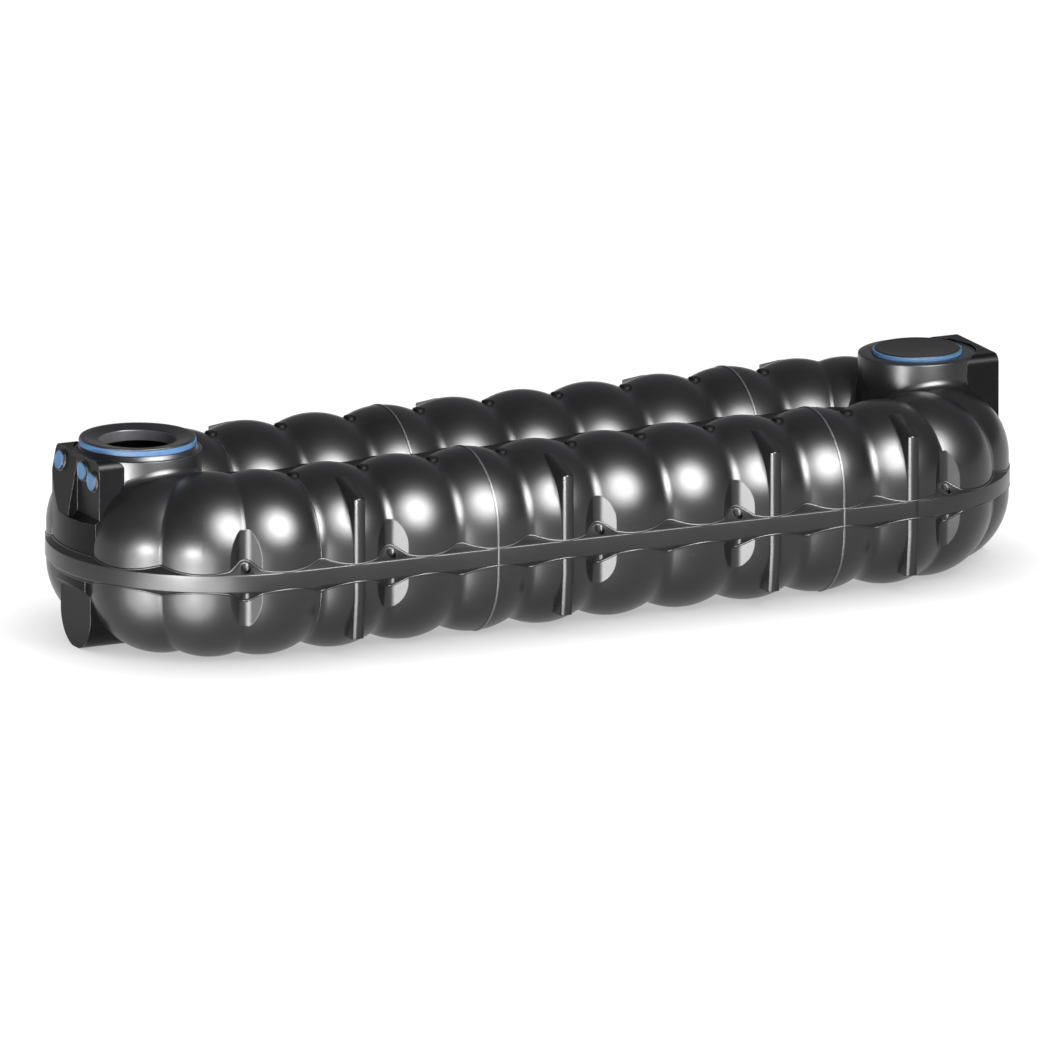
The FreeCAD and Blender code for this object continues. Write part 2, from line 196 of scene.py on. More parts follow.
class Graph:
    """A node tree that is written in code."""

    def __init__(self, tree: bpy.types.NodeTree) -> None:
        """Start on an emptied tree.

        Args:
            tree: The node tree of a material or of the world.
        """
        self.tree = tree
        tree.nodes.clear()

    def add(self, kind: str, settings: dict[str, Any] | None = None,
            inputs: dict[Any, Any] | None = None, output: int | str = 0) -> Value | None:
        """Make a node.

        Args:
            kind: The node's type.
            settings: Properties, which are set first.
            inputs: Values or numbers by the socket's name or place.
            output: The output that is wanted.

        Returns:
            The wanted output, or nothing for a node without outputs.
        """
        node = self.tree.nodes.new(kind)
        for name, value in (settings or {}).items():
            setattr(node, name, value)
        for name, value in (inputs or {}).items():
            if isinstance(value, Value):
                self.tree.links.new(value.socket, node.inputs[name])
            else:
                node.inputs[name].default_value = value
        return Value(self, node.outputs[output]) if node.outputs else None

    def place(self) -> Value:
        """Object coordinates."""
        return self.add("ShaderNodeTexCoord", output="Object")

    def axis(self, place: Value, name: str) -> Value:
        """One coordinate of a place."""
        return self.add("ShaderNodeSeparateXYZ", None, {0: place}, name)

    def mix(self, factor: Value, low: Any, high: Any) -> Value:
        """Mix two colours.

        Args:
            factor: How much of the second shows, from 0 to 1.
            low: The first colour.
            high: The second colour.

        Returns:
            The mixed colour.
        """
        return self.add("ShaderNodeMix", {"data_type": "RGBA"}, {0: factor, 6: low, 7: high}, 2)

    def tint(self, colour: Colour, level: Value) -> Value:
        """A colour made lighter or darker by a level."""
        return self.add("ShaderNodeVectorMath", {"operation": "SCALE"}, {0: colour[:3], "Scale": level})

    def noise(self, place: Value, pattern: Pattern) -> Value:
        """Lay a pattern on the surface.

        Args:
            place: Coordinates.
            pattern: The pattern.

        Returns:
            A value of about 0.5 that changes over the surface.
        """
        kind = pattern.value
        if kind.stretch:
            place = self.add("ShaderNodeMapping", None, {"Vector": place, "Scale": kind.stretch})
        return self.add("ShaderNodeTexNoise", None, {"Vector": place, "Scale": kind.scale,
                                                     "Detail": kind.octaves, "Roughness": kind.rough})

    def rounded(self, radius: float) -> Value:
        """The surface's normal with its edges rounded."""
        return self.add("ShaderNodeBevel", {"samples": EDGE_SAMPLES}, {"Radius": radius})

    def bump(self, height: Value, normal: Value, strength: float = 1.0, depth: float = 1.0) -> Value:
        """Raise the surface in its looks.

        Args:
            height: How far it is raised.
            normal: The normal before.
            strength: How much of it shows, from 0 to 1.
            depth: Metres to a height of 1.

        Returns:
            The raised surface's normal.
        """
        return self.add("ShaderNodeBump", None,
                        {"Strength": strength, "Distance": depth, "Height": height, "Normal": normal})

    def plastic(self, base: Value, roughness: Value, normal: Value, specular: float) -> None:
        """Lead all into the shader of a plastic and out to the surface.

        Args:
            base: Its colour.
            roughness: Its roughness.
            normal: Its normal.
            specular: The strength of its gloss.
        """
        shader = self.add("ShaderNodeBsdfPrincipled", None,
                          {"Base Color": base, "Roughness": roughness, "Normal": normal,
                           "Specular IOR Level": specular})
        self.add("ShaderNodeOutputMaterial", None, {"Surface": shader})

    def seen(self) -> Value:
        """Tell the rays that show a background.

        Returns:
            One for rays from the camera, from a gloss and through glass.
        """
        rays = ("Is Camera Ray", "Is Glossy Ray", "Is Transmission Ray")
        camera, gloss, glass = (self.add("ShaderNodeLightPath", output=ray) for ray in rays)
        return camera | gloss | glass


def new_material(name: str) -> tuple[bpy.types.Material, Graph]:
    """Start a material.

    Args:
        name: Its name.

    Returns:
        The material and its node tree, which is empty.
    """
    material = bpy.data.materials.new(name)
    material.use_nodes = True
    return material, Graph(material.node_tree)


def grey(level: float) -> Colour:
    """An even grey."""
    return level, level, level, 1.0


@dataclass(frozen=True)
class MouldedPlastic:
    """Moulded plastic with a fine grain, faint flow clouds, scuffs, and pale edges that are wear and
    painted highlight.

    Above 0, the bore light paints the wall of the manhole's bore pale as painted light, and a crown rounds
    the middle of each lobe by that slope to the metre. A variant is another finish in the same slot.
    """

    slot: Slot
    colour: Colour
    pale_wear_and_painted_light: Colour
    roughness: float
    specular: float
    edge: float
    edge_wear_and_highlight: float
    bore_painted_light: float = 0.0
    crown: float = 0.0
    variant: str = ""
    cloud_tint: float = 0.5
    mottle_tint: float = 0.25
    scuff_tint: float = 0.015
    bore_light_tint: float = 0.5
    cloud_gloss: float = 0.14
    scuff_gloss: float = 0.08
    grain: float = 0.05
    waves: float = 0.35
    relief: float = 0.16
    relief_depth: float = 0.004
    scuffed: Range = (0.60, 0.80)
    worn_and_highlit_edge_span: Range = (0.02, 0.25)
    worn_and_highlit_patch: Range = (0.25, 0.65)
    bore_reach: Range = (0.2615, 0.2646)
    bore_foot: Range = (1.300, 1.312)
    bore_lip: Range = (1.374, 1.382)

    def bore_light_mask(self, g: Graph, place: Value) -> Value:
        """Find the wall of the manhole's bore, where pale colour is painted in as light.

        Args:
            g: The material's nodes.
            place: Object coordinates.

        Returns:
            One on the wall and 0 elsewhere.
        """
        x, y, z = (g.axis(place, name) for name in "XYZ")
        off = x + NECK_X
        low, high = (reach ** 2 for reach in self.bore_reach)
        inside = 1.0 - (off * off + y * y).ramp(low, high)
        return inside * z.ramp(*self.bore_foot) * (1.0 - z.ramp(*self.bore_lip))

    def crowned(self, g: Graph, place: Value, normal: Value) -> Value:
        """Round the surface across the middle of each lobe, where the ribs stand.

        Args:
            g: The material's nodes.
            place: Object coordinates.
            normal: The normal before.

        Returns:
            The crowned surface's normal.
        """
        off = (g.axis(place, "X") * (1.0 / PITCH)).fraction().centred() * PITCH
        return g.bump(off * off * (-self.crown / 2), normal)

    def make(self) -> bpy.types.Material:
        """Build the material.

        Returns:
            The new material.
        """
        material, g = new_material(self.slot.value + self.variant)
        place = g.place()
        clouds = g.noise(place, Pattern.CLOUDS)
        mottle = g.noise(place, Pattern.MOTTLE)
        scuffs = g.noise(place, Pattern.SCUFFS).ramp(*self.scuffed)
        flat = g.add("ShaderNodeNewGeometry", output="Normal")
        rounded = g.rounded(self.edge)
        along = g.add("ShaderNodeVectorMath", {"operation": "DOT_PRODUCT"}, {0: flat, 1: rounded}, "Value")
        # Painted highlight, partly wear too: edges go pale where the rounded normal turns away from the
        # flat one
        patches = g.noise(place, Pattern.WEAR).ramp(*self.worn_and_highlit_patch)
        worn_and_highlit_edges = (1.0 - along).ramp(*self.worn_and_highlit_edge_span) * patches * self.edge_wear_and_highlight
        level = clouds.centred() * self.cloud_tint + mottle.centred() * self.mottle_tint + 1.0
        base = g.mix(worn_and_highlit_edges + scuffs * self.scuff_tint, g.tint(self.colour, level), self.pale_wear_and_painted_light)
        # Painted light: the wall of the manhole's bore is coloured pale, standing in for light falling on
        # it
        if self.bore_painted_light:
            painted_bore_light = self.bore_light_mask(g, place) * (mottle.centred() * self.bore_light_tint + 1.0) * self.bore_painted_light
            base = g.mix(painted_bore_light, base, self.pale_wear_and_painted_light)
        shape = self.crowned(g, place, rounded) if self.crown else rounded
        uneven = g.noise(place, Pattern.GRAIN) * self.grain + g.noise(place, Pattern.WAVES) * self.waves
        normal = g.bump(uneven, shape, self.relief, self.relief_depth)
        gloss = clouds.centred() * self.cloud_gloss + scuffs * self.scuff_gloss + self.roughness
        g.plastic(base, gloss, normal, self.specular)
        return material


@dataclass(frozen=True)
class WeldedPlastic:
    """The rippled bead of a plastic weld, paler than the tank."""

    slot: Slot = Slot.WELD
    colour: Colour = (0.10, 0.10, 0.105, 1.0)
    roughness: float = 0.34
    specular: float = 0.8
    edge: float = 0.004
    ripple_tint: float = 0.9
    speck_tint: float = 0.4
    speck_gloss: float = 0.2
    speck_height: float = 0.2
    relief: float = 0.4
    relief_depth: float = 0.004

    def make(self) -> bpy.types.Material:
        """Build the material.

        Returns:
            The new material.
        """
        material, g = new_material(self.slot.value)
        place = g.place()
        ripples = g.noise(place, Pattern.RIPPLES)
        specks = g.noise(place, Pattern.SPECKS)
        level = ripples.centred() * self.ripple_tint + specks.centred() * self.speck_tint + 1.0
        uneven = ripples + specks * self.speck_height
        normal = g.bump(uneven, g.rounded(self.edge), self.relief, self.relief_depth)
        gloss = specks.centred() * self.speck_gloss + self.roughness
        g.plastic(g.tint(self.colour, level), gloss, normal, self.specular)
        return material


# The pale colour and the edge strength below paint the edges pale, as wear and as painted highlight
SMOOTH_BLACK = MouldedPlastic(Slot.TANK, colour=(0.008, 0.008, 0.009, 1.0), pale_wear_and_painted_light=(0.34, 0.34, 0.35, 1.0),
                              roughness=0.30, specular=0.42, edge=0.007, edge_wear_and_highlight=0.9)
DULL_BLACK = replace(SMOOTH_BLACK, roughness=0.34, specular=0.08, variant="_dull")
RIB_BLACK = replace(SMOOTH_BLACK, edge=0.005, edge_wear_and_highlight=0.4, crown=27.0, variant="_rib")
MATT_BLACK = replace(SMOOTH_BLACK, pale_wear_and_painted_light=(0.06, 0.06, 0.062, 1.0), roughness=0.50, specular=0.05,
                     edge=0.003, edge_wear_and_highlight=0.5, variant="_matt")
LID_BLACK = MouldedPlastic(Slot.LID, colour=(0.010, 0.010, 0.011, 1.0), pale_wear_and_painted_light=(0.10, 0.10, 0.105, 1.0),
                           roughness=0.42, specular=0.25, edge=0.006, edge_wear_and_highlight=0.35)
SEAL_BLUE = MouldedPlastic(Slot.SEAL, colour=(0.130, 0.300, 0.580, 1.0), pale_wear_and_painted_light=(0.22, 0.42, 0.72, 1.0),
                           roughness=0.60, specular=0.12, edge=0.003, edge_wear_and_highlight=0.3)
PLUG_BLUE = MouldedPlastic(Slot.PLUG, colour=(0.140, 0.320, 0.620, 1.0), pale_wear_and_painted_light=(0.30, 0.50, 0.80, 1.0),
                           roughness=0.50, specular=0.18, edge=0.003, edge_wear_and_highlight=0.5)
# The tank's finish paints light onto the wall of the manhole's bore
FINISHES = (replace(SMOOTH_BLACK, bore_painted_light=0.5), LID_BLACK, WeldedPlastic(), SEAL_BLUE, PLUG_BLUE)


class Bench:
    """Hand tools for modelling, and the shelf of finishes."""

    def __init__(self) -> None:
        """Mix the finishes."""
        self.finishes = {finish.slot: finish.make() for finish in FINISHES}

    @staticmethod
    def clear() -> None:
        """Leave edit mode and select nothing."""
        if bpy.context.object and bpy.context.object.mode != "OBJECT":
            bpy.ops.object.mode_set(mode="OBJECT")
        bpy.ops.object.select_all(action="DESELECT")

    @staticmethod
    def only(piece: bpy.types.Object) -> None:
        """Select one piece and make it active.

        Args:
            piece: The piece.
        """
        Bench.clear()
        piece.select_set(True)
        bpy.context.view_layer.objects.active = piece

    @staticmethod
    def pick(piece: bpy.types.Object, test: Callable[[Vector], bool]) -> None:
        """Enter edit mode with the vertices selected that pass a test, and what lies between them.

        Args:
            piece: The piece to edit.
            test: Told a vertex's place in the tank, says whether it is wanted.
        """
        Bench.only(piece)
        bpy.ops.object.mode_set(mode="EDIT")
        bpy.ops.mesh.select_mode(type="VERT")
        bpy.ops.mesh.select_all(action="DESELECT")
        bpy.ops.object.mode_set(mode="OBJECT")
        for vertex in piece.data.vertices:
            vertex.select = test(piece.matrix_world @ vertex.co)
        bpy.ops.object.mode_set(mode="EDIT")

    @staticmethod
    def modify(piece: bpy.types.Object, kind: str, **settings: Any) -> None:
        """Add a modifier and apply it.

        Args:
            piece: The piece to change.
            kind: The modifier's type.
            settings: Its settings.
        """
        Bench.only(piece)
        modifier = piece.modifiers.new(kind.lower(), kind)
        for name, value in settings.items():
            setattr(modifier, name, value)
        bpy.ops.object.modifier_apply(modifier=modifier.name)

    @staticmethod
    def soften(piece: bpy.types.Object, width: float, segments: int = 3, sharp: float = 30.0) -> None:
        """Round a piece's sharp edges.

        Args:
            piece: The piece.
            width: Width of the rounding.
            segments: Steps across it.
            sharp: Edges that turn by more than this are sharp.
        """
        Bench.modify(piece, "BEVEL", width=width, segments=segments, limit_method="ANGLE",
                     angle_limit=math.radians(sharp), harden_normals=False)

    @staticmethod
    def settle(piece: bpy.types.Object) -> None:
        """Put a piece's place, turn and scale into its mesh."""
        Bench.only(piece)
        bpy.ops.object.transform_apply(location=True, rotation=True, scale=True)

    @staticmethod
    def close(piece: bpy.types.Object) -> None:
        """Merge doubles and turn the faces outwards.

        Args:
            piece: The piece to close.
        """
        Bench.pick(piece, lambda p: True)
        bpy.ops.mesh.remove_doubles(threshold=SAME)
        bpy.ops.mesh.normals_make_consistent(inside=False)
        Bench.clear()

    @staticmethod
    def block(low: Point, high: Point) -> bpy.types.Object:
        """Start a piece as a block.

        Args:
            low: Its lowest corner.
            high: Its highest corner.

        Returns:
            The block.
        """
        Bench.clear()
        bpy.ops.mesh.primitive_cube_add(size=1.0, location=(Vector(low) + Vector(high)) / 2)
        piece = bpy.context.object
        piece.scale = Vector(high) - Vector(low)
        Bench.settle(piece)
        return piece

    @staticmethod
    def lathe(outline: Outline, centre: Spot = (0.0, 0.0), steps: int = 128) -> bpy.types.Object:
        """Turn an outline round an upright axis.

        Args:
            outline: Radius and height of its corners; a closed outline ends where it starts.
            centre: The axis in plan.
            steps: Segments of the full turn.

        Returns:
            The turned piece.
        """
        Bench.clear()
        start = (centre[0] + outline[0][0], centre[1], outline[0][1])
        bpy.ops.mesh.primitive_plane_add(size=NEAR, location=start)
        piece = bpy.context.object
        bpy.ops.object.mode_set(mode="EDIT")
        bpy.ops.mesh.merge(type="CENTER")
        for (r0, z0), (r1, z1) in zip(outline, outline[1:]):
            bpy.ops.mesh.extrude_region_move(TRANSFORM_OT_translate={"value": (r1 - r0, 0.0, z1 - z0)})
        bpy.ops.mesh.select_all(action="SELECT")
        bpy.ops.mesh.spin(steps=steps, angle=2 * math.pi, center=(*centre, 0.0), axis=(0.0, 0.0, 1.0))
        Bench.close(piece)
        Bench.settle(piece)
        return piece

    @staticmethod
    def copy(piece: bpy.types.Object, place: Matrix) -> bpy.types.Object:
        """Copy a piece with its own mesh.

        Args:
            piece: The piece, at the origin.
            place: Where the copy goes.

        Returns:
            The copy, with its place in its mesh.
        """
        Bench.only(piece)
        bpy.ops.object.duplicate(linked=False)
        twin = bpy.context.object
        twin.matrix_world = place
        Bench.settle(twin)
        return twin

    @staticmethod
    def join(pieces: Sequence[bpy.types.Object]) -> bpy.types.Object:
        """Join pieces into the first of them.

        Args:
            pieces: The pieces.

        Returns:
            The joined piece.
        """
        Bench.only(pieces[0])
        for piece in pieces:
            piece.select_set(True)
        bpy.ops.object.join()
        return bpy.context.object

    def deliver(self, piece: bpy.types.Object, name: str, slot: Slot, *nodes: str, angle: float = 35.0,
                finish: bpy.types.Material | None = None) -> None:
        """Name, smooth, dress and mount a finished piece.

        Args:
            piece: The piece.
            name: Its name.
            slot: Its finish.
            nodes: The CAD nodes that it stands for.
            angle: Edges sharper than this stay sharp.
            finish: A finish of its own in place of the slot's.
        """
        Bench.settle(piece)
        bpy.ops.object.shade_smooth_by_angle(angle=math.radians(angle))
        piece.name = piece.data.name = name
        piece.data.materials.clear()
        piece.data.materials.append(finish or self.finishes[slot])
        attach(piece, "root")
        if nodes:
            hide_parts(*nodes)
        log.info("%s: %d faces", name, len(piece.data.polygons))


@dataclass
class MouldedBody:
    """The moulded shells, webs, weld seams, blocks and feet, which keep their CAD shape."""

    bench: Bench
    slots: dict[str, Slot] = field(default_factory=lambda: {
        "weld_seam": Slot.WELD, "gasket": Slot.SEAL, "plugs": Slot.PLUG, "lid": Slot.LID})
    dull: MouldedPlastic = DULL_BLACK
    dull_parts: tuple[str, ...] = ("inlet_block", "foot")

    def dress(self, nodes: dict[str, bpy.types.Object]) -> None:
        """Give every node its finish.

        Args:
            nodes: The CAD nodes by name.
        """
        dull = self.dull.make()
        for name, node in nodes.items():
            slot = next((s for key, s in self.slots.items() if key in name), Slot.TANK)
            is_dull = any(part in name for part in self.dull_parts)
            node.data.materials.clear()
            node.data.materials.append(dull if is_dull else self.bench.finishes[slot])
        log.info("dressed %d mouldings", len(nodes))


@dataclass
class RimBand:
    """The band round the waist with its round-edged profile and the slots of the lashing eyes."""

    bench: Bench
    out: float = 1.150
    root: float = 1.022
    mid: float = RIM_MID
    face: float = 0.112
    slope: float = 40.0
    edge: float = 0.007
    seam: float = 0.0002
    turn_steps: int = 60
    eye_r: float = 0.033
    eye_out: float = 1.101
    eye_places: tuple[float, ...] = (-3 * PITCH, 0.0, 2 * PITCH)
    eye_turn: float = 15.0
    eye_sides: int = 40
    drill_length: float = 0.6
    fillet: float = 0.008
    fillet_steps: int = 2
    row_points: int = 360
    turn_points: int = 181
    pocket_back: float = 1.050
    pocket_r: float = 0.070
    pocket_flank: float = 50.0
    pocket_reach: float = 9.2
    pocket_passes: int = 6
    panel_r: float = 1.108
    panel_half: float = 0.345
    lobe_turn: float = 30.0

    def rise(self, y: float) -> float:
        """Height of the band's upper side above its middle, at a distance from the tank's middle line."""
        return self.face / 2 + (self.out - y) * math.tan(math.radians(self.slope))

    def build_band(self) -> bpy.types.Object:
        """Model the band as one closed loop.

        Returns:
            The band without slots.
        """
        half = self.rise(self.root)
        band = Bench.block((-END_X, -self.out, self.mid - half), (END_X, -self.root, self.mid + half))
        Bench.pick(band, lambda p: p.y < NEAR - self.out)
        bpy.ops.transform.resize(value=(1, 1, self.face / 2 / half), center_override=(0, 0, self.mid))
        Bench.pick(band, lambda p: p.x > END_X - NEAR)
        bpy.ops.mesh.spin(steps=self.turn_steps, angle=-math.pi, center=(END_X, 0, 0), axis=(0, 0, 1))
        bpy.ops.mesh.extrude_region_move(TRANSFORM_OT_translate={"value": (-2 * END_X, 0, 0)})
        bpy.ops.mesh.spin(steps=self.turn_steps, angle=-math.pi, center=(-END_X, 0, 0), axis=(0, 0, 1))
        bpy.ops.mesh.select_all(action="SELECT")
        bpy.ops.mesh.remove_doubles(threshold=self.seam)
        bpy.ops.mesh.select_all(action="DESELECT")
        bpy.ops.mesh.select_mode(type="FACE")
        bpy.ops.mesh.select_interior_faces()
        bpy.ops.mesh.delete(type="FACE")
        Bench.close(band)
        return band

    def eye_centres(self) -> list[Spot]:
        """Find the lashing eyes in plan.

        Returns:
            Their centres.
        """
        turn = math.radians(self.eye_turn)
        end_x, end_y = END_X + self.eye_out * math.sin(turn), self.eye_out * math.cos(turn)
        spots = [(x, self.eye_out) for x in self.eye_places] + [(-end_x, end_y), (end_x, end_y)]
        return [(x, side * y) for x, y in spots for side in (-1, 1)]

    def outline(self, x: float) -> float:
        """How far the lobes of a row stand out at a place along it.

        Args:
            x: Place along the row.

        Returns:
            Distance from the tank's middle line.
        """
        groove = round(x / PITCH) * PITCH
        off = abs(x - groove)
        lift = math.sqrt((LOBE_R + GROOVE_FILLET) ** 2 - PITCH ** 2 / 4)
        if off < PITCH / 2 * GROOVE_FILLET / (LOBE_R + GROOVE_FILLET):
            out = ROW_Y + lift - math.sqrt(GROOVE_FILLET ** 2 - off ** 2)
        else:
            out = ROW_Y + math.sqrt(LOBE_R ** 2 - (PITCH / 2 - off) ** 2)
        if min(abs(groove - place) for place in self.eye_places) < NEAR:
            out = min(out, self.pocket_out(off))
        return out

    def pocket_out(self, off: float) -> float:
        """How far a lashing pocket's wall stands out.

        Args:
            off: Distance from the pocket's middle.

        Returns:
            Distance from the tank's middle line.
        """
        r, a = self.pocket_r, math.radians(self.pocket_flank)
        if off < r * math.cos(a):
            return self.pocket_back + r - math.sqrt(r * r - off * off)
        return self.pocket_back + r - r * math.sin(a) + (off - r * math.cos(a)) / math.tan(a)

    def turn_outline(self, a: float) -> float:
        """How far the lobes or the end panel of a turn stand out in a direction.

        Args:
            a: Angle from the row's side, radians.

        Returns:
            Distance from the middle of the turn.
        """
        if abs(self.panel_r * math.cos(a)) < self.panel_half:
            return self.panel_r
        step = math.radians(self.lobe_turn)
        off = abs(a - round(a / step) * step)
        out = ROW_Y * math.cos(off) + math.sqrt(LOBE_R ** 2 - (ROW_Y * math.sin(off)) ** 2)
        turn = math.radians(self.eye_turn)
        side = min(abs(a - turn), abs(a - math.pi + turn))
        if side < math.radians(self.pocket_reach):
            # Each pass comes nearer to where this direction meets the pocket's wall
            for _ in range(self.pocket_passes):
                out = min(out, self.pocket_out(out * math.sin(side)) / math.cos(side))
        return out

    def route(self, side: int) -> list[Point]:
        """The line where the band's sloping side meets the lobes.

        Args:
            side: 1 for the upper side, -1 for the lower.

        Returns:
            Points all the way round.
        """
        plan = []
        for i in range(self.row_points):
            x = END_X * (2 * i / self.row_points - 1)
            plan.append((x, -self.outline(x), self.outline(x)))
        for i in range(self.turn_points):
            a = math.pi * i / self.turn_points
            out = self.turn_outline(a)
            plan.append((END_X + out * math.sin(a), -out * math.cos(a), out))
        half = [(x, y, self.mid + side * self.rise(out)) for x, y, out in plan]
        return half + [(-x, -y, z) for x, y, z in half]

    def build_fillet(self) -> bpy.types.Object:
        """Sweep the small fillets between band and lobes.

        Returns:
            Both fillets as one piece.
        """
        Bench.clear()
        curve = bpy.data.curves.new("rim_fillets", "CURVE")
        curve.dimensions = "3D"
        curve.bevel_depth, curve.bevel_resolution = self.fillet, self.fillet_steps
        for side in (1, -1):
            points = self.route(side)
            spline = curve.splines.new("POLY")
            spline.points.add(len(points) - 1)
            for knot, spot in zip(spline.points, points):
                knot.co = (*spot, 1.0)
            spline.use_cyclic_u = True
        swept = bpy.data.objects.new("rim_fillets", curve)
        bpy.context.collection.objects.link(swept)
        Bench.only(swept)
        bpy.ops.object.convert(target="MESH")
        piece = bpy.context.object
        Bench.close(piece)
        return piece

    def build(self) -> None:
        """Model band, slots and fillets."""
        band = self.build_band()
        for x, y in self.eye_centres():
            Bench.clear()
            bpy.ops.mesh.primitive_cylinder_add(vertices=self.eye_sides, radius=self.eye_r,
                                                depth=self.drill_length, location=(x, y, self.mid))
            drill = bpy.context.object
            Bench.modify(band, "BOOLEAN", operation="DIFFERENCE", object=drill, solver="EXACT")
            bpy.data.objects.remove(drill)
        Bench.soften(band, self.edge)
        self.bench.deliver(band, "rim_band_with_eyes", Slot.TANK, "left_rim_band", "middle_front_rim_band",
                           "middle_back_rim_band", "right_rim_band", "front_lashing_eyes",
                           "back_lashing_eyes")
        self.bench.deliver(self.build_fillet(), "rim_fillets", Slot.TANK, angle=60.0)


@dataclass
class Ribs:
    """Upright ribs over the lobes, with sloping ridges and lower ends that lean in.

    The lobes that carry them are counted from the middle of the tank.
    """

    bench: Bench
    nose: float = 1.1495
    root: float = 0.860
    low: float = 0.137
    mid: float = 0.430
    high: float = 1.105
    width: float = 0.086
    lean: float = 0.030
    ridge: float = 18.0
    rounding: float = 0.006
    lobes: tuple[float, ...] = (-3.5, -0.5, 2.5, 4.5)
    finish: MouldedPlastic = RIB_BLACK

    def build_fin(self) -> bpy.types.Object:
        """Model one rib of the front row at the middle of the tank.

        Returns:
            The rib, whose back end is inside the lobe.
        """
        half = self.width / 2
        climb = (self.nose - self.root) * math.tan(math.radians(self.ridge))
        fin = Bench.block((-half, -self.nose, self.mid), (half, -self.root, self.high))
        Bench.pick(fin, lambda p: p.z < self.mid + NEAR)
        bpy.ops.mesh.extrude_region_move(TRANSFORM_OT_translate={"value": (0.0, 0.0, self.low - self.mid)})
        Bench.pick(fin, lambda p: p.z < self.low + NEAR and p.y < NEAR - self.nose)
        bpy.ops.transform.translate(value=(0.0, self.lean, 0.0))
        Bench.pick(fin, lambda p: p.z > self.high - NEAR and p.y > -self.root - NEAR)
        bpy.ops.transform.translate(value=(0.0, 0.0, climb))
        Bench.soften(fin, self.rounding)
        return fin

    def build(self) -> None:
        """Copy the rib to its lobes, turned round for the back row."""
        first, skin = self.build_fin(), self.finish.make()
        for side, turn in (("front", 0.0), ("back", math.pi)):
            for i, lobe in enumerate(self.lobes, 1):
                place = Matrix.Translation((lobe * PITCH, 0.0, 0.0)) @ Matrix.Rotation(turn, 4, "Z")
                rib, name = Bench.copy(first, place), f"{side}_round_rib_{i}"
                self.bench.deliver(rib, name, Slot.TANK, f"{side}_rib_{i}", finish=skin)
        bpy.data.objects.remove(first)


@dataclass
class GroovePads:
    """Round pads in the grooves on top of both rows, with a matt grip."""

    bench: Bench
    outline: Outline = ((0.0, 1.2015), (0.038, 1.2015), (0.0395, 1.2005), (0.040, 1.1990), (0.040, 1.186),
                        (0.044, 1.180), (0.044, 1.115))
    grooves: range = range(-4, 5)
    sides: int = 48
    finish: MouldedPlastic = MATT_BLACK

    def build(self) -> None:
        """Model one pad and copy it into every groove."""
        first, matt = Bench.lathe(self.outline, steps=self.sides), self.finish.make()
        for side, y in (("front", -ROW_Y), ("back", ROW_Y)):
            copies = [Bench.copy(first, Matrix.Translation((n * PITCH, y, 0.0))) for n in self.grooves]
            pads = Bench.join(copies)
            self.bench.deliver(pads, side + "_pads", Slot.TANK, side + "_groove_pads", finish=matt)
        bpy.data.objects.remove(first)


@dataclass
class NeckFlare:
    """The soft fillet where a neck grows out of the lobes.

    Its rings start above the tank and drop onto the lobes, and what misses them is taken away. The section
    gives each ring's distance from the neck and its height above the lobes.
    """

    bench: Bench
    side: str
    centre: float
    radius: float
    sides: int = 288
    section: Outline = ((0.001, 0.036), (0.004, 0.024), (0.009, 0.014), (0.016, 0.007), (0.025, 0.002),
                        (0.036, -0.002))
    start: float = 1.6
    missed: float = 1.5
    near_ring: float = 0.0015

    def build(self, nodes: dict[str, bpy.types.Object]) -> None:
        """Lay rings on the lobes and lift them up the neck.

        Args:
            nodes: The CAD nodes by name.
        """
        Bench.clear()
        middle = (self.centre, 0.0, self.start)
        sizes = [(self.radius + away, lift) for away, lift in self.section]
        bpy.ops.mesh.primitive_circle_add(vertices=self.sides, radius=sizes[0][0], location=middle)
        ring = bpy.context.object
        Bench.settle(ring)
        Bench.pick(ring, lambda p: True)
        for (inner, _), (outer, _) in zip(sizes, sizes[1:]):
            bpy.ops.mesh.extrude_region()
            bpy.ops.transform.resize(value=(outer / inner, outer / inner, 1.0), center_override=middle)
        Bench.modify(ring, "SHRINKWRAP", target=nodes[self.side + "_end_upper_shell"],
                     auxiliary_target=nodes[self.side + "_roof_web"], wrap_method="PROJECT",
                     use_project_z=True, use_positive_direction=False, use_negative_direction=True)
        Bench.pick(ring, lambda p: p.z > self.missed)
        bpy.ops.mesh.delete(type="VERT")
        for size, lift in sizes:
            Bench.pick(ring, lambda p: abs(math.hypot(p.x - self.centre, p.y) - size) < self.near_ring)
            bpy.ops.transform.translate(value=(0.0, 0.0, lift))
        Bench.close(ring)
        self.bench.deliver(ring, self.side + "_neck_flare", Slot.TANK, angle=70.0)


